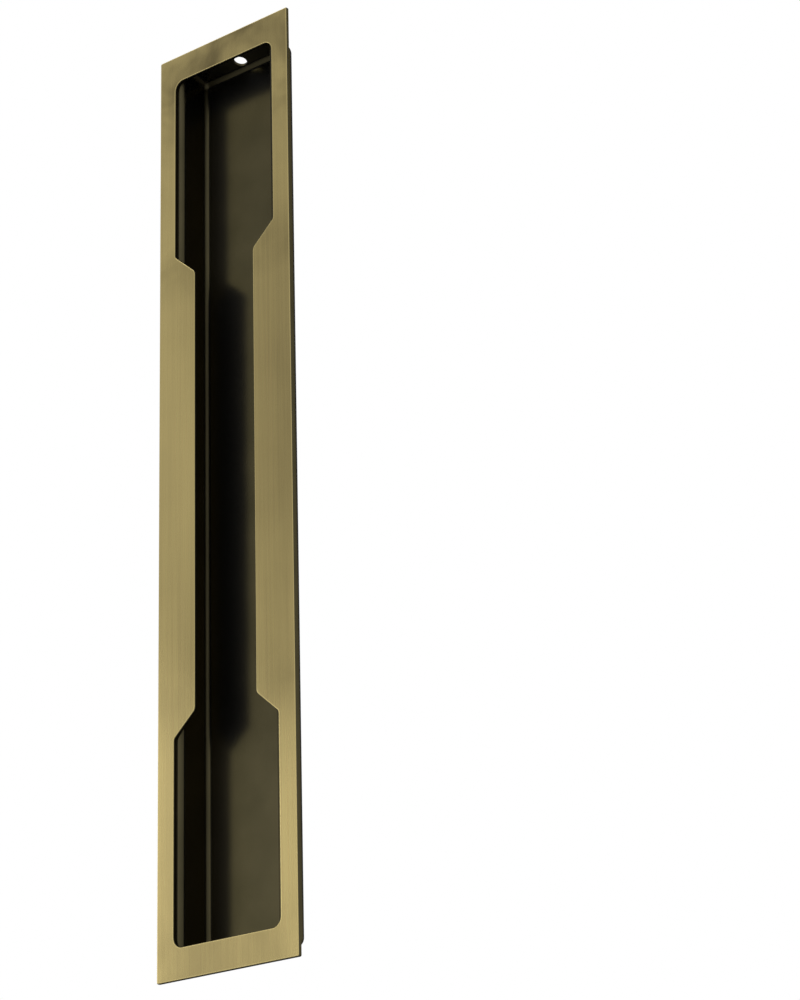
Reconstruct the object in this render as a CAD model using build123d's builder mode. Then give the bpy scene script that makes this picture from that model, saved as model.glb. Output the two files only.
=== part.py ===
from build123d import *
from math import cos, radians, sin, tan
import os

# Flush sliding door pull: a flat brass plate with a dog-bone opening over a drawn steel pan.
# The origin is the middle of the plate's rear face, the plane that lies against the door.
# +X runs across the pull, +Y into the door and +Z up its length. Sizes are in millimetres.

# Face plate, cut from flat sheet with square outer corners
plate_length = 300.0
plate_width = 54.0
plate_thickness = 1.0
edge_break = 0.3

# Opening in the plate: a wide bay at each end, and a waist between two finger lips
end_rim = 9.4
side_rim = 6.6
bay_length = 62.2
lip_reach = 8.4
shoulder_length = 7.3
bay_corner_radius = 3.2
shoulder_radius = 1.5
lip_corner_radius = 2.5

# Recess pan, pressed from thinner sheet: upright sides, ends that lean out to its flanged mouth
sheet = 0.8
recess_depth = 11.2
end_slope = 13.0
mouth_bend = 0.8
floor_bend = 1.6
corner_bend = 2.0
mouth_ledge = 0.6
end_undercut = 5.6
flange_reach = 2.8

# Screw hole through each end wall, square to it
hole_diameter = 4.2
hole_setback = 7.5

# Sizes that follow from the ones above
opening_length = plate_length - 2 * end_rim
bay_width = plate_width - 2 * side_rim
bay_edge = bay_width / 2
lip_edge = bay_edge - lip_reach
lip_root = opening_length / 2 - bay_length
lip_tip = lip_root - shoulder_length
mouth_radius = mouth_bend + sheet
pan_back = recess_depth + sheet
cavity_side = bay_edge - mouth_ledge - mouth_radius
cavity_end = opening_length / 2 + end_undercut
end_lean = tan(radians(end_slope))
end_skin = sheet / cos(radians(end_slope))
hole_height = cavity_end - hole_setback * end_lean + end_skin / 2

os.makedirs("parts", exist_ok=True)

# Face plate: the lips stand in from both sides of the opening and hide the pan's side walls
with BuildPart() as face_plate:
    with BuildSketch(Plane.XZ):
        Rectangle(plate_width, plate_length)
        with BuildSketch(mode=Mode.SUBTRACT) as opening:
            Rectangle(bay_width, opening_length)
            for side in (-1, 1):
                with BuildLine():
                    Polyline(
                        (side * bay_edge, lip_root),
                        (side * lip_edge, lip_tip),
                        (side * lip_edge, -lip_tip),
                        (side * bay_edge, -lip_root),
                        close=True,
                    )
                make_face(mode=Mode.SUBTRACT)
            rows = opening.vertices().group_by(Axis.Y)
            fillet(rows[0] + rows[-1], bay_corner_radius)
            fillet(rows[1] + rows[-2], shoulder_radius)
            fillet(rows[2] + rows[-3], lip_corner_radius)
    extrude(amount=plate_thickness)
    front = face_plate.faces().sort_by(Axis.Y)[0]
    chamfer(front.edges(), edge_break)

# Recess pan: one pressed shell, open at the front, its flange flat against the plate's rear face
with BuildPart() as recess_pan:
    with BuildSketch(Plane.YZ):
        with BuildLine():
            rear_end = cavity_end + end_skin - pan_back * end_lean
            Polyline(
                (0, cavity_end + end_skin),
                (pan_back, rear_end),
                (pan_back, -rear_end),
                (0, -cavity_end - end_skin),
                close=True,
            )
        make_face()
    extrude(amount=cavity_side + sheet, both=True)
    corners = recess_pan.edges().filter_by(Axis.X, reverse=True).filter_by(Axis.Z, reverse=True)
    fillet(corners, corner_bend + sheet)
    fillet(recess_pan.faces().sort_by(Axis.Y)[-1].edges(), floor_bend + sheet)
    with BuildSketch(Plane.XZ.offset(-sheet)):
        RectangleRounded(
            2 * (cavity_side + flange_reach),
            2 * (cavity_end + flange_reach),
            corner_bend + flange_reach,
        )
    extrude(amount=sheet)
    with BuildPart(mode=Mode.SUBTRACT) as cavity:
        with BuildSketch(Plane.YZ):
            with BuildLine():
                floor_end = cavity_end - recess_depth * end_lean
                Polyline(
                    (0, cavity_end),
                    (recess_depth, floor_end),
                    (recess_depth, -floor_end),
                    (0, -cavity_end),
                    close=True,
                )
            make_face()
        extrude(amount=cavity_side, both=True)
        fillet(cavity.edges().filter_by(Axis.X, reverse=True).filter_by(Axis.Z, reverse=True), corner_bend)
        fillet(cavity.faces().sort_by(Axis.Y)[-1].edges(), floor_bend)
    flange_rear = recess_pan.faces().filter_by(Plane.XZ).sort_by(Axis.Y)[1]
    fillet(flange_rear.inner_wires()[0].edges(), mouth_bend)
    flange_front = recess_pan.faces().sort_by(Axis.Y)[0]
    fillet(flange_front.inner_wires()[0].edges(), mouth_radius)
    for end in (-1, 1):
        square_to_wall = (0, sin(radians(end_slope)), end * cos(radians(end_slope)))
        with Locations(Plane((0, hole_setback, end * hole_height), x_dir=(1, 0, 0), z_dir=square_to_wall)):
            Cylinder(hole_diameter / 2, 4 * sheet, mode=Mode.SUBTRACT)

face_plate.part.label = "face_plate"
recess_pan.part.label = "recess_pan"

export_step(face_plate.part, "parts/face_plate.step")
export_step(recess_pan.part, "parts/recess_pan.step")
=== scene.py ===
import math

import bmesh
import bpy
from mathutils import Matrix, Vector


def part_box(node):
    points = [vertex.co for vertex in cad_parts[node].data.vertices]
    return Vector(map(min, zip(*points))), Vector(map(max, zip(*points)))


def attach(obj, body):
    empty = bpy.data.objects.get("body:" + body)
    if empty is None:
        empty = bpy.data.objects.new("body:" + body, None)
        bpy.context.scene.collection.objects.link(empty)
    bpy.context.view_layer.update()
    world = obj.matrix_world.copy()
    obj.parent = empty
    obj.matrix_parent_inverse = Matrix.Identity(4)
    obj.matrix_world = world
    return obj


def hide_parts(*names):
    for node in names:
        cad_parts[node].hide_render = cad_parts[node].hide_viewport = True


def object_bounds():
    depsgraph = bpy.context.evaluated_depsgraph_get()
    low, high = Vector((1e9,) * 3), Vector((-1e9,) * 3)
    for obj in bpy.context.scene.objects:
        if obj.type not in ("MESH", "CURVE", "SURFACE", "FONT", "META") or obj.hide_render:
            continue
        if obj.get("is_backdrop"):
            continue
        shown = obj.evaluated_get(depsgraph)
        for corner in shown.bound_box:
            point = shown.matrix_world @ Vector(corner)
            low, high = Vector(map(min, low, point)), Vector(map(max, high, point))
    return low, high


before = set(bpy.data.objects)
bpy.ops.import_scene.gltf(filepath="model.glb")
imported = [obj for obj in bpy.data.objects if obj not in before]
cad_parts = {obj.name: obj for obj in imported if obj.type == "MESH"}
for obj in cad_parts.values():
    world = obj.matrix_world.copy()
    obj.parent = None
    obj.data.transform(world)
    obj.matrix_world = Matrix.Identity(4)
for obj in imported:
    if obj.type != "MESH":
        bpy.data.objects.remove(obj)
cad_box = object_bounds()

# Recess pan: the box that the fingers reach into, one sheet of steel pressed to depth, with upright
# sides and ends that lean out to the mouth. Its flat flange lies against the back of the face plate,
# where it is spot welded, and each end wall has one plain hole for a screw into the door.
MM = 0.001
sheet = 0.8 * MM
end_slope = math.radians(13)
corner_bend = 2.0 * MM
floor_bend = 1.6 * MM
mouth_bend = 0.8 * MM
flange_reach = 2.8 * MM
hole_diameter = 4.2 * MM
hole_setback = 7.5 * MM
pan_low, pan_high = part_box("recess_pan")
pan_width = pan_high[0] - pan_low[0] - 2 * flange_reach
pan_length = pan_high[2] - pan_low[2] - 2 * flange_reach
pan_depth = pan_high[1] - sheet


def linear(hex_colour):
    """The linear colour of an sRGB hex value."""
    channels = [int(hex_colour[place:place + 2], 16) / 255 for place in (1, 3, 5)]
    return [c / 12.92 if c <= 0.04045 else ((c + 0.055) / 1.055) ** 2.4 for c in channels] + [1.0]


def add_node(tree, kind, inputs=(), **settings):
    """Adds one node. Inputs maps a socket's name or number to a value or to another node's output."""
    node = tree.nodes.new(kind)
    for name, value in settings.items():
        setattr(node, name, value)
    for socket, value in dict(inputs).items():
        if isinstance(value, bpy.types.NodeSocket):
            tree.links.new(value, node.inputs[socket])
        else:
            node.inputs[socket].default_value = value
    return node


# Dark bronze plating under a thin satin lacquer: a near-black brown mirror that is a little cloudy.
# It shows what it reflects, so the walls look black and the open floor looks brown-grey, and the
# lacquer lays a faint haze over both. Bends that the press stretched are duller and show as soft lines.
cloud_size = 14 * MM
bend_dulling = 0.3
math_node = "ShaderNodeMath"
dark_bronze = bpy.data.materials.new("lacquered_dark_bronze_plating")
dark_bronze.use_nodes = True
bronze_tree = dark_bronze.node_tree
bronze_shader = bronze_tree.nodes["Principled BSDF"]
bronze_shader.inputs["Metallic"].default_value = 1.0
bronze_shader.inputs["Specular Tint"].default_value = linear("#2A2A26")
bronze_shader.inputs["Coat Weight"].default_value = 0.25
bronze_shader.inputs["Coat Roughness"].default_value = 0.5
bronze_place = add_node(bronze_tree, "ShaderNodeTexCoord")
cloud = add_node(
    bronze_tree,
    "ShaderNodeTexNoise",
    {"Vector": bronze_place.outputs["Object"], "Scale": 1 / cloud_size, "Detail": 4.0},
)
bronze_tone = add_node(bronze_tree, "ShaderNodeValToRGB", {"Fac": cloud.outputs["Fac"]})
darker_bronze, lighter_bronze = bronze_tone.color_ramp.elements
darker_bronze.position = 0.3
darker_bronze.color = linear("#3D3823")
lighter_bronze.position = 0.7
lighter_bronze.color = linear("#46402A")
bronze_tree.links.new(bronze_tone.outputs["Color"], bronze_shader.inputs["Base Color"])
haze = add_node(
    bronze_tree,
    "ShaderNodeMapRange",
    {"Value": cloud.outputs["Fac"], "To Min": 0.19, "To Max": 0.23},
)
stretch = add_node(bronze_tree, "ShaderNodeAttribute", attribute_name="stretched")
dulled = add_node(
    bronze_tree,
    math_node,
    {0: stretch.outputs["Fac"], 1: bend_dulling, 2: haze.outputs["Result"]},
    operation="MULTIPLY_ADD",
)
bronze_tree.links.new(dulled.outputs[0], bronze_shader.inputs["Roughness"])

# The pan's section is carried round the mouth, a rectangle with rounded corners. The floor is closed,
# then everything is pulled in towards the middle with depth, which leans the two end walls.
bend_steps = 10
corner_steps = 12
merge_distance = 0.001 * MM
pan_tree = bpy.data.node_groups.new("pressed_pan", "GeometryNodeTree")
pan_sizes = {
    "Width": pan_width,
    "Length": pan_length,
    "Depth": pan_depth,
    "Sheet": sheet,
    "End slope": end_slope,
    "Corner bend": corner_bend,
    "Floor bend": floor_bend,
    "Mouth bend": mouth_bend,
    "Flange reach": flange_reach,
    "Hole diameter": hole_diameter,
    "Hole setback": hole_setback,
}
sockets = {}
for name in pan_sizes:
    sockets[name] = pan_tree.interface.new_socket(name, in_out="INPUT", socket_type="NodeSocketFloat")
finish_socket = pan_tree.interface.new_socket("Finish", in_out="INPUT", socket_type="NodeSocketMaterial")
pan_tree.interface.new_socket("Pan", in_out="OUTPUT", socket_type="NodeSocketGeometry")
size = add_node(pan_tree, "NodeGroupInput").outputs
behind = add_node(pan_tree, math_node, {0: size["Depth"], 1: size["Sheet"]}).outputs[0]
floor_inset = add_node(pan_tree, math_node, {0: 0.0, 1: size["Floor bend"]}, operation="SUBTRACT").outputs[0]
mouth_radius = add_node(pan_tree, math_node, {0: size["Mouth bend"], 1: size["Sheet"]}).outputs[0]
rear_radius = add_node(pan_tree, math_node, {0: size["Floor bend"], 1: size["Sheet"]}).outputs[0]

# Each corner of the section: how far out from the recess wall, how deep, and the radius of its bend
section_corners = [
    (floor_inset, size["Depth"], 0.0),
    (0.0, size["Depth"], size["Floor bend"]),
    (0.0, 0.0, mouth_radius),
    (size["Flange reach"], 0.0, 0.0),
    (size["Flange reach"], size["Sheet"], 0.0),
    (size["Sheet"], size["Sheet"], size["Mouth bend"]),
    (size["Sheet"], behind, rear_radius),
    (floor_inset, behind, 0.0),
]
corner_number = add_node(pan_tree, "GeometryNodeInputIndex").outputs[0]
corner_place = add_node(pan_tree, "GeometryNodeIndexSwitch", {0: corner_number}, data_type="VECTOR")
corner_radius = add_node(pan_tree, "GeometryNodeIndexSwitch", {0: corner_number}, data_type="FLOAT")
for switch in (corner_place, corner_radius):
    while len(switch.index_switch_items) < len(section_corners):
        switch.index_switch_items.new()
for index, (out, deep, radius) in enumerate(section_corners):
    section_corner = add_node(pan_tree, "ShaderNodeCombineXYZ", {"X": out, "Y": deep})
    pan_tree.links.new(section_corner.outputs[0], corner_place.inputs[index + 1])
    if isinstance(radius, bpy.types.NodeSocket):
        pan_tree.links.new(radius, corner_radius.inputs[index + 1])
section = add_node(
    pan_tree,
    "GeometryNodePoints",
    {"Count": len(section_corners), "Position": corner_place.outputs[0]},
)
section = add_node(pan_tree, "GeometryNodePointsToCurves", {"Points": section.outputs[0]})
section = add_node(
    pan_tree,
    "GeometryNodeFilletCurve",
    {"Curve": section.outputs[0], "Count": bend_steps, "Radius": corner_radius.outputs[0]},
    mode="POLY",
)
mouth = add_node(
    pan_tree,
    "GeometryNodeCurvePrimitiveQuadrilateral",
    {"Width": size["Width"], "Height": size["Length"]},
)
mouth = add_node(
    pan_tree,
    "GeometryNodeFilletCurve",
    {"Curve": mouth.outputs[0], "Count": corner_steps, "Radius": size["Corner bend"]},
    mode="POLY",
)
wall = add_node(
    pan_tree,
    "GeometryNodeCurveToMesh",
    {"Curve": mouth.outputs[0], "Profile Curve": section.outputs[0]},
)
both_insets = add_node(pan_tree, math_node, {0: floor_inset, 1: 2.0}, operation="MULTIPLY").outputs[0]
floor_width = add_node(pan_tree, math_node, {0: size["Width"], 1: both_insets}).outputs[0]
floor_length = add_node(pan_tree, math_node, {0: size["Length"], 1: both_insets}).outputs[0]
floor_corner = add_node(pan_tree, math_node, {0: size["Corner bend"], 1: floor_inset}).outputs[0]
pan_floor = add_node(
    pan_tree,
    "GeometryNodeCurvePrimitiveQuadrilateral",
    {"Width": floor_width, "Height": floor_length},
)
pan_floor = add_node(
    pan_tree,
    "GeometryNodeFilletCurve",
    {"Curve": pan_floor.outputs[0], "Count": corner_steps, "Radius": floor_corner},
    mode="POLY",
)
pan_floor = add_node(pan_tree, "GeometryNodeFillCurve", {"Curve": pan_floor.outputs[0]}, mode="NGONS")
shell = add_node(pan_tree, "GeometryNodeJoinGeometry", {0: wall.outputs[0]})
for depth in (size["Depth"], behind):
    floor_level = add_node(pan_tree, math_node, {0: 0.0, 1: depth}, operation="SUBTRACT")
    floor_level = add_node(pan_tree, "ShaderNodeCombineXYZ", {"Z": floor_level.outputs[0]})
    floor_face = add_node(
        pan_tree,
        "GeometryNodeTransform",
        {"Geometry": pan_floor.outputs[0], "Translation": floor_level.outputs[0]},
    )
    if depth == behind:
        floor_face = add_node(pan_tree, "GeometryNodeFlipFaces", {"Mesh": floor_face.outputs[0]})
    pan_tree.links.new(floor_face.outputs[0], shell.inputs[0])
shell = add_node(
    pan_tree,
    "GeometryNodeMergeByDistance",
    {"Geometry": shell.outputs[0], "Distance": merge_distance},
)
lean = add_node(pan_tree, math_node, {0: size["End slope"]}, operation="TANGENT").outputs[0]
position = add_node(pan_tree, "GeometryNodeInputPosition")
position = add_node(pan_tree, "ShaderNodeSeparateXYZ", {0: position.outputs[0]}).outputs
which_end = add_node(pan_tree, math_node, {0: position["Y"]}, operation="SIGN").outputs[0]
pull = add_node(pan_tree, math_node, {0: position["Z"], 1: lean}, operation="MULTIPLY").outputs[0]
pull = add_node(pan_tree, math_node, {0: pull, 1: which_end}, operation="MULTIPLY").outputs[0]
pull = add_node(pan_tree, "ShaderNodeCombineXYZ", {"Y": pull})
shell = add_node(
    pan_tree,
    "GeometryNodeSetPosition",
    {"Geometry": shell.outputs[0], "Offset": pull.outputs[0]},
)

# One drill goes through each end wall, square to it. Its length is a few times the sheet, so that it
# passes right through the leaning wall.
hole_sides = 48
drill_sheets = 4.0
drill_radius = add_node(pan_tree, math_node, {0: size["Hole diameter"], 1: 0.5}, operation="MULTIPLY")
drill_length = add_node(pan_tree, math_node, {0: size["Sheet"], 1: drill_sheets}, operation="MULTIPLY")
drill = add_node(
    pan_tree,
    "GeometryNodeMeshCylinder",
    {"Vertices": hole_sides, "Radius": drill_radius.outputs[0], "Depth": drill_length.outputs[0]},
)
pan_end = add_node(pan_tree, math_node, {0: size["Length"], 1: 0.5}, operation="MULTIPLY").outputs[0]
lean_in = add_node(pan_tree, math_node, {0: size["Hole setback"], 1: lean}, operation="MULTIPLY").outputs[0]
hole_height = add_node(pan_tree, math_node, {0: pan_end, 1: lean_in}, operation="SUBTRACT").outputs[0]
below = add_node(pan_tree, math_node, {0: 0.0, 1: size["Hole setback"]}, operation="SUBTRACT").outputs[0]
for end in (1, -1):
    drill_height = add_node(pan_tree, math_node, {0: hole_height, 1: end}, operation="MULTIPLY")
    drill_place = add_node(pan_tree, "ShaderNodeCombineXYZ", {"Y": drill_height.outputs[0], "Z": below})
    tilt = add_node(pan_tree, math_node, {0: size["End slope"], 1: math.pi / 2})
    tilt = add_node(pan_tree, math_node, {0: tilt.outputs[0], 1: -end}, operation="MULTIPLY")
    drill_turn = add_node(pan_tree, "ShaderNodeCombineXYZ", {"X": tilt.outputs[0]})
    drill_end = add_node(
        pan_tree,
        "GeometryNodeTransform",
        {
            "Geometry": drill.outputs[0],
            "Translation": drill_place.outputs[0],
            "Rotation": drill_turn.outputs[0],
        },
    )
    shell = add_node(
        pan_tree,
        "GeometryNodeMeshBoolean",
        {"Mesh 1": shell.outputs[0], "Mesh 2": drill_end.outputs[0]},
        operation="DIFFERENCE",
    )

# The walls and the floor face one axis almost squarely and the bends face none, so the direction of the
# surface tells where the press stretched the sheet.
flat_facing = 0.96
bent_facing = 0.80
facing = add_node(pan_tree, "GeometryNodeInputNormal")
facing = add_node(pan_tree, "ShaderNodeVectorMath", {0: facing.outputs[0]}, operation="ABSOLUTE")
facing = add_node(pan_tree, "ShaderNodeSeparateXYZ", {0: facing.outputs[0]}).outputs
squarest = add_node(pan_tree, math_node, {0: facing["X"], 1: facing["Y"]}, operation="MAXIMUM").outputs[0]
squarest = add_node(pan_tree, math_node, {0: squarest, 1: facing["Z"]}, operation="MAXIMUM").outputs[0]
stretched = add_node(
    pan_tree,
    "ShaderNodeMapRange",
    {"Value": squarest, "From Min": flat_facing, "From Max": bent_facing, "To Min": 0.0, "To Max": 1.0},
)
shell = add_node(
    pan_tree,
    "GeometryNodeStoreNamedAttribute",
    {"Geometry": shell.outputs[0], "Name": "stretched", "Value": stretched.outputs["Result"]},
    data_type="FLOAT",
    domain="POINT",
)
upright = add_node(
    pan_tree,
    "GeometryNodeTransform",
    {"Geometry": shell.outputs[0], "Rotation": (math.pi / 2, 0.0, 0.0)},
)
plain = add_node(pan_tree, "GeometryNodeRealizeInstances", {"Geometry": upright.outputs[0]})
coated = add_node(
    pan_tree,
    "GeometryNodeSetMaterial",
    {"Geometry": plain.outputs[0], "Material": size["Finish"]},
)
add_node(pan_tree, "NodeGroupOutput", {"Pan": coated.outputs[0]})

pan = bpy.data.objects.new("recess_pan_shell", bpy.data.meshes.new("recess_pan_shell"))
bpy.context.scene.collection.objects.link(pan)
maker = pan.modifiers.new("pressed pan", "NODES")
maker.node_group = pan_tree
for name, value in pan_sizes.items():
    maker[sockets[name].identifier] = value
maker[finish_socket.identifier] = dark_bronze
made = pan.evaluated_get(bpy.context.evaluated_depsgraph_get())
pan_mesh = bpy.data.meshes.new_from_object(made)
pan.modifiers.clear()
pan.data = pan_mesh
crease = math.radians(40)


def smooth_bends(piece):
    """Smooth shading that keeps flat faces flat and edges over the crease angle sharp."""
    piece.data.shade_smooth()
    piece.data.set_sharp_from_angle(angle=crease)
    weighted = piece.modifiers.new("flat faces lead", "WEIGHTED_NORMAL")
    weighted.keep_sharp = True
    weighted.weight = 100


smooth_bends(pan)
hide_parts("recess_pan")
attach(pan, "root")

# Face plate: a flat brass sheet with square corners, blanked with a dog-bone opening whose two lips
# stand in over the pan for the fingers to pull on. It is blackened all over, then brushed along its
# length, so the face is brass again while the cut edges and the back stay dark.
plate_low, plate_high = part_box("face_plate")
plate_thickness = plate_high[1] - plate_low[1]
half_width = plate_high[0]
half_length = plate_high[2]
edge_break = 0.3 * MM
# Width over which the painted edge highlight and wear fade out into the face.
edge_highlight_fade_width = 0.15 * MM
outer_corner_radius = 0.5 * MM
end_rim = 9.4 * MM
side_rim = 6.6 * MM
bay_length = 62.2 * MM
lip_reach = 8.4 * MM
shoulder_length = 7.3 * MM
bay_corner_radius = 3.2 * MM
shoulder_radius = 1.5 * MM
lip_corner_radius = 2.5 * MM
opening_end = half_length - end_rim
bay_edge = half_width - side_rim
lip_edge = bay_edge - lip_reach
lip_root = opening_end - bay_length
lip_tip = lip_root - shoulder_length
edge_steps = 6
brushed_steps = 2
arc_steps = 10


def rounded_outline(corners):
    """A closed outline with rounded corners, counter-clockwise: each point with its outward direction."""
    outline = []
    for index, (x, z, radius) in enumerate(corners):
        corner = Vector((x, z))
        arriving = (corner - Vector(corners[index - 1][:2])).normalized()
        leaving = (Vector(corners[(index + 1) % len(corners)][:2]) - corner).normalized()
        turn = math.atan2(arriving.cross(leaving), arriving.dot(leaving))
        reach = radius * math.tan(abs(turn) / 2)
        first_out = Vector((arriving.y, -arriving.x))
        bend = math.copysign(radius, turn)
        for step in range(arc_steps + 1):
            out = Matrix.Rotation(turn * step / arc_steps, 2) @ first_out
            outline.append((corner - arriving * reach + (out - first_out) * bend, out))
    return outline


rim = [
    (half_width, -half_length, outer_corner_radius),
    (half_width, half_length, outer_corner_radius),
    (-half_width, half_length, outer_corner_radius),
    (-half_width, -half_length, outer_corner_radius),
]
right_side = [
    (bay_edge, -opening_end, bay_corner_radius),
    (bay_edge, -lip_root, shoulder_radius),
    (lip_edge, -lip_tip, lip_corner_radius),
    (lip_edge, lip_tip, lip_corner_radius),
    (bay_edge, lip_root, shoulder_radius),
    (bay_edge, opening_end, bay_corner_radius),
]
left_side = [(-x, -z, radius) for x, z, radius in right_side]

# The section of the edge, from the face round to the back: how far in from the outline, how deep, and
# how bright the edge is painted, as wear and a painted highlight together. The first steps of the roll
# are brushed, the rest stays dark.
edge_section = [(edge_break + edge_highlight_fade_width, -plate_thickness, 0.0)]
for step in range(edge_steps + 1):
    roll = math.pi / 2 * step / edge_steps
    inset = edge_break * (1 - math.sin(roll))
    edge_section.append((inset, edge_break * (1 - math.cos(roll)) - plate_thickness, 1.0))
edge_section.append((0.0, 0.0, 0.0))

plate_build = bmesh.new()
# Each point's share of the painted edge highlight and wear.
painted_edge_highlight_and_wear = plate_build.verts.layers.float.new("painted_edge_highlight_and_wear")
front_edges = []
rear_edges = []
for outline, inward in ((rounded_outline(rim), -1), (rounded_outline(right_side + left_side), 1)):
    loops = []
    for inset, depth, brightness in edge_section:
        loop = []
        for point, out in outline:
            spot = point + out * inset * inward
            vertex = plate_build.verts.new((spot.x, depth, spot.y))
            vertex[painted_edge_highlight_and_wear] = brightness
            loop.append(vertex)
        loops.append(loop)
    for step, (upper, lower) in enumerate(zip(loops, loops[1:])):
        for index in range(len(upper)):
            quad = (upper[index - 1], upper[index], lower[index], lower[index - 1])
            face = plate_build.faces.new(quad)
            face.material_index = 1 if step > brushed_steps else 0
    front_edges += [plate_build.edges.get((a, b)) for a, b in zip(loops[0], loops[0][1:] + loops[0][:1])]
    rear_edges += [plate_build.edges.get((a, b)) for a, b in zip(loops[-1], loops[-1][1:] + loops[-1][:1])]
bmesh.ops.triangle_fill(plate_build, edges=front_edges, use_beauty=True)
rear = bmesh.ops.triangle_fill(plate_build, edges=rear_edges, use_beauty=True)
for face in rear["geom"]:
    if isinstance(face, bmesh.types.BMFace):
        face.material_index = 1
bmesh.ops.recalc_face_normals(plate_build, faces=plate_build.faces)
plate_mesh = bpy.data.meshes.new("face_plate_sheet")
plate_build.to_mesh(plate_mesh)
plate_build.free()
brush_map = plate_mesh.uv_layers.new(name="across_and_along")
for loop in plate_mesh.loops:
    spot = plate_mesh.vertices[loop.vertex_index].co
    brush_map.data[loop.index].uv = (spot.x, spot.z)

# Antique brass, blackened, brushed along its length and lacquered: a soft gold-brown sheen that the
# brush lines spread sideways. The brush took the black off in long broad strokes and left brown blots.
# The blots are darkened most at the top by painted shade, and the edges are painted brightest, as wear
# and a painted highlight. Real brush lines are about 0.05 mm apart, too fine to show here, so they are
# drawn 0.7 mm apart.
line_pitch = 0.7 * MM
line_length = 60 * MM
line_depth = 0.01 * MM
patch_size = 20 * MM
stroke_width = 40 * MM
stroke_length = 130 * MM
antique_brass = bpy.data.materials.new("brushed_antique_brass")
antique_brass.use_nodes = True
brass_tree = antique_brass.node_tree
brass_shader = brass_tree.nodes["Principled BSDF"]
brass_shader.inputs["Metallic"].default_value = 1.0
brass_shader.inputs["Anisotropic"].default_value = 1.0
tangent = add_node(brass_tree, "ShaderNodeTangent", direction_type="UV_MAP", uv_map="across_and_along")
brass_tree.links.new(tangent.outputs[0], brass_shader.inputs["Tangent"])
brass_place = add_node(brass_tree, "ShaderNodeTexCoord").outputs["Object"]
lines = add_node(
    brass_tree,
    "ShaderNodeMapping",
    {"Vector": brass_place, "Scale": (1 / line_pitch, 1 / line_pitch, 1 / line_length)},
)
lines = add_node(
    brass_tree,
    "ShaderNodeTexNoise",
    {"Vector": lines.outputs[0], "Scale": 1.0, "Detail": 3.0},
).outputs["Fac"]

# The noise has no start of its own. These two places in it were picked because the blots and the strokes
# there fall about as they do on the real plate.
patch_start = (10.5, 0.8, 12.8)
stroke_start = (0.0, 27.5, 28.0)
patches = add_node(
    brass_tree,
    "ShaderNodeMapping",
    {"Vector": brass_place, "Location": patch_start, "Scale": [1 / patch_size] * 3},
)
patches = add_node(
    brass_tree,
    "ShaderNodeTexNoise",
    {"Vector": patches.outputs[0], "Scale": 1.0, "Detail": 3.0, "Distortion": 0.4},
).outputs["Fac"]
strokes = add_node(
    brass_tree,
    "ShaderNodeMapping",
    {
        "Vector": brass_place,
        "Location": stroke_start,
        "Scale": (1 / stroke_width, 1 / stroke_width, 1 / stroke_length),
    },
)
strokes = add_node(
    brass_tree,
    "ShaderNodeTexNoise",
    {"Vector": strokes.outputs[0], "Scale": 1.0, "Detail": 1.0},
).outputs["Fac"]

# How far the brass is bared: by the strokes, less in the patches, and a little by each brush line.
# A Mix node repeats its socket names for each kind of value, so its colours go by number.
patch_share = 0.2
line_share = 0.3
colour_from = 6
colour_to = 7
mixed_colour = 2
bared = add_node(brass_tree, math_node, {0: patches, 1: -patch_share, 2: strokes}, operation="MULTIPLY_ADD")
bared = add_node(
    brass_tree,
    math_node,
    {0: lines, 1: line_share, 2: bared.outputs[0]},
    operation="MULTIPLY_ADD",
)
bared = add_node(
    brass_tree,
    "ShaderNodeMapRange",
    {"Value": bared.outputs[0], "From Min": 0.18, "From Max": 0.78},
)
brass_tone = add_node(
    brass_tree,
    "ShaderNodeMix",
    {"Factor": bared.outputs["Result"], colour_from: linear("#7D704A"), colour_to: linear("#A79764")},
    data_type="RGBA",
)

# Painted shade by height: how much the brown blots are darkened, from the bottom of the plate (0) to
# its top (1): most at the top, some at the bottom and beside the shoulders of the opening, and none
# between. The blots themselves are patina; this darkening by height is painted shade laid over them.
shade_at_bottom = 0.16
shade_at_top = 1.0
shade_between_stops = (
    (0.12, 0.0),
    (0.22, 0.0),
    (0.27, 0.16),
    (0.33, 0.0),
    (0.7, 0.0),
    (0.745, 0.4),
    (0.79, 0.0),
)
height = add_node(brass_tree, "ShaderNodeSeparateXYZ", {0: brass_place}).outputs["Z"]
height = add_node(
    brass_tree,
    "ShaderNodeMapRange",
    {"Value": height, "From Min": -half_length, "From Max": half_length},
)
painted_height_shade = add_node(brass_tree, "ShaderNodeValToRGB", {"Fac": height.outputs["Result"]})
stops = painted_height_shade.color_ramp.elements
stops[0].color = [shade_at_bottom] * 3 + [1.0]
stops[1].color = [shade_at_top] * 3 + [1.0]
for level, share in shade_between_stops:
    stops.new(level).color = [share] * 3 + [1.0]
blots = add_node(brass_tree, "ShaderNodeMapRange", {"Value": patches, "From Min": 0.3, "From Max": 0.7})
shade_in_blots = add_node(
    brass_tree,
    math_node,
    {0: painted_height_shade.outputs["Color"], 1: blots.outputs["Result"]},
    operation="MULTIPLY",
)
# Patina blots and painted shade: the brass is mixed towards dark brown where the blots and the height shade
# meet.
blotted_and_shaded = add_node(
    brass_tree,
    "ShaderNodeMix",
    {
        "Factor": shade_in_blots.outputs[0],
        colour_from: brass_tone.outputs[mixed_colour],
        colour_to: linear("#463D26"),
    },
    data_type="RGBA",
)
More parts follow.
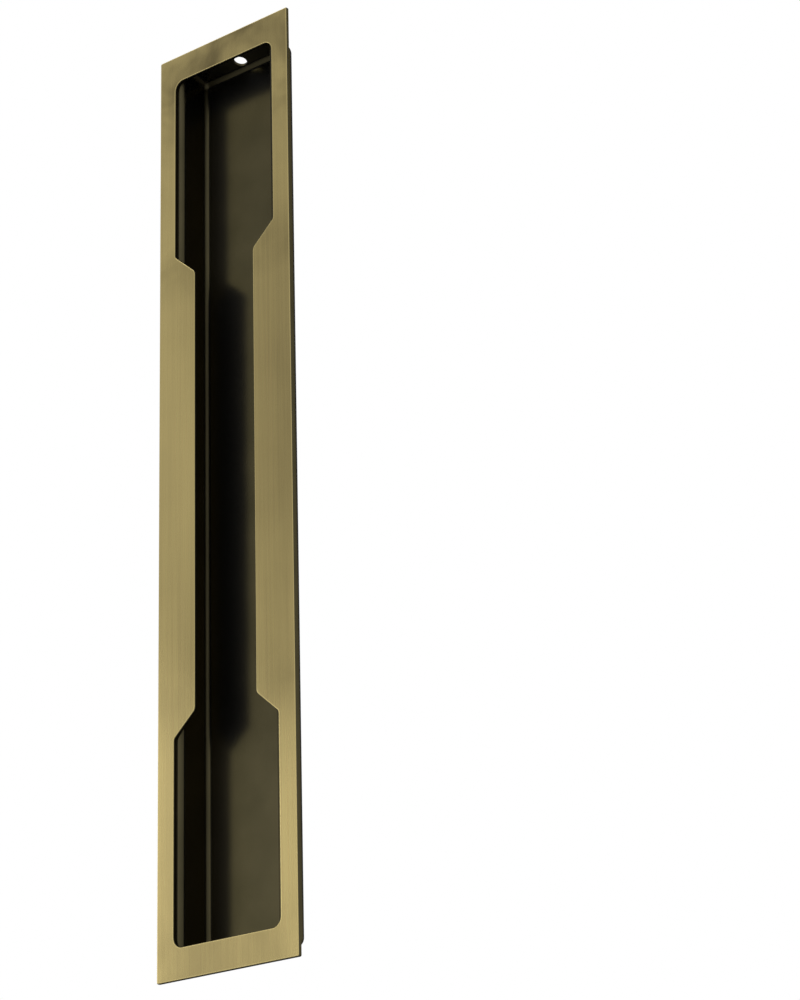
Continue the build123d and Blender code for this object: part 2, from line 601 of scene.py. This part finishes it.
# Painted highlight and wear: the rolled front edges are mixed towards a bright brass.
edge_highlight_and_wear_mask = add_node(brass_tree, "ShaderNodeAttribute", attribute_name="painted_edge_highlight_and_wear")
highlit_and_worn = add_node(
    brass_tree,
    "ShaderNodeMix",
    {
        "Factor": edge_highlight_and_wear_mask.outputs["Fac"],
        colour_from: blotted_and_shaded.outputs[mixed_colour],
        colour_to: linear("#B0A06D"),
    },
    data_type="RGBA",
)
brass_tree.links.new(highlit_and_worn.outputs[mixed_colour], brass_shader.inputs["Base Color"])
gloss = add_node(brass_tree, "ShaderNodeMapRange", {"Value": lines, "To Min": 0.24, "To Max": 0.30})
brass_tree.links.new(gloss.outputs["Result"], brass_shader.inputs["Roughness"])
grain = add_node(
    brass_tree,
    "ShaderNodeBump",
    {"Height": lines, "Strength": 0.15, "Distance": line_depth},
)
brass_tree.links.new(grain.outputs[0], brass_shader.inputs["Normal"])

plate = bpy.data.objects.new("face_plate_sheet", plate_mesh)
bpy.context.scene.collection.objects.link(plate)
plate_mesh.materials.append(antique_brass)
plate_mesh.materials.append(dark_bronze)
smooth_bends(plate)
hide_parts("face_plate")
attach(plate, "root")

# Studio: a pale floor well below the pull, a white surround and three large soft lamps, a low one at
# the side that the brushed plate catches, a weak one in front and one above. The pull stands in the air
# at the height that it has in a door, and the camera looks up at it from the right.
floor_drop = 1.2
floor_radius = 12.0
floor_sides = 96
floor_build = bmesh.new()
down = Matrix.Translation((0, 0, -floor_drop))
bmesh.ops.create_circle(floor_build, cap_ends=True, radius=floor_radius, segments=floor_sides, matrix=down)
bmesh.ops.recalc_face_normals(floor_build, faces=floor_build.faces)
floor_mesh = bpy.data.meshes.new("studio_floor")
floor_build.to_mesh(floor_mesh)
floor_build.free()
studio_floor = bpy.data.objects.new("studio_floor", floor_mesh)
bpy.context.scene.collection.objects.link(studio_floor)
floor_paint = bpy.data.materials.new("matt_white_studio_paint")
floor_paint.use_nodes = True
paint = floor_paint.node_tree.nodes["Principled BSDF"]
paint.inputs["Base Color"].default_value = linear("#EDEDED")
paint.inputs["Roughness"].default_value = 0.9
floor_mesh.materials.append(floor_paint)
studio_floor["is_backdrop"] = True


def soft_lamp(name, place, target, width, height, power):
    """A rectangular lamp at place that faces target."""
    light = bpy.data.lights.new(name, "AREA")
    light.shape = "RECTANGLE"
    light.size = width
    light.size_y = height
    light.energy = power
    lamp = bpy.data.objects.new(name, light)
    lamp.location = place
    lamp.rotation_euler = (Vector(target) - Vector(place)).to_track_quat("-Z", "Y").to_euler()
    bpy.context.scene.collection.objects.link(lamp)


soft_lamp("side_lamp", (-1.32, -0.48, 0.17), target=(0, 0, -0.05), width=1.0, height=0.4, power=2.5)
soft_lamp("front_lamp", (-0.93, -1.05, 0.13), target=(0, 0, -0.1), width=0.8, height=0.35, power=0.25)
soft_lamp("top_lamp", (-0.3, -0.4, 1.6), target=(0, 0, 0), width=1.2, height=1.2, power=12.0)

surround_light = 0.7
world = bpy.data.worlds.new("white_surround")
bpy.context.scene.world = world
world.use_nodes = True
world_tree = world.node_tree
rays = add_node(world_tree, "ShaderNodeLightPath").outputs
shown = rays["Is Camera Ray"]
for kind_of_ray in ("Is Glossy Ray", "Is Transmission Ray"):
    shown = add_node(world_tree, math_node, {0: shown, 1: rays[kind_of_ray]}, operation="MAXIMUM").outputs[0]
strength = add_node(
    world_tree,
    "ShaderNodeMapRange",
    {"Value": shown, "To Min": surround_light, "To Max": 1.0},
)
background = world_tree.nodes["Background"]
background.inputs["Color"].default_value = (1.0, 1.0, 1.0, 1.0)
world_tree.links.new(strength.outputs["Result"], background.inputs["Strength"])

camera_place = (0.52963, -0.58426, -0.31343)
camera_azimuth = math.radians(38.43)
camera_rise = math.radians(21.10)
camera_roll = math.radians(-1.62)
lens = bpy.data.cameras.new("photo_camera")
lens.lens = 101.72
lens.sensor_width = 36.0
camera = bpy.data.objects.new("photo_camera", lens)
camera_turn = Matrix.Rotation(camera_azimuth, 4, "Z")
camera_turn = camera_turn @ Matrix.Rotation(math.pi / 2 + camera_rise, 4, "X")
camera_turn = camera_turn @ Matrix.Rotation(camera_roll, 4, "Z")
camera.matrix_world = Matrix.Translation(camera_place) @ camera_turn
bpy.context.scene.collection.objects.link(camera)
bpy.context.scene.camera = camera
bpy.context.scene.view_settings.view_transform = "Standard"

boxes = {"cad": cad_box, "visual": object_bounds()}
boxes = {name: [list(corner) for corner in box] for name, box in boxes.items()}
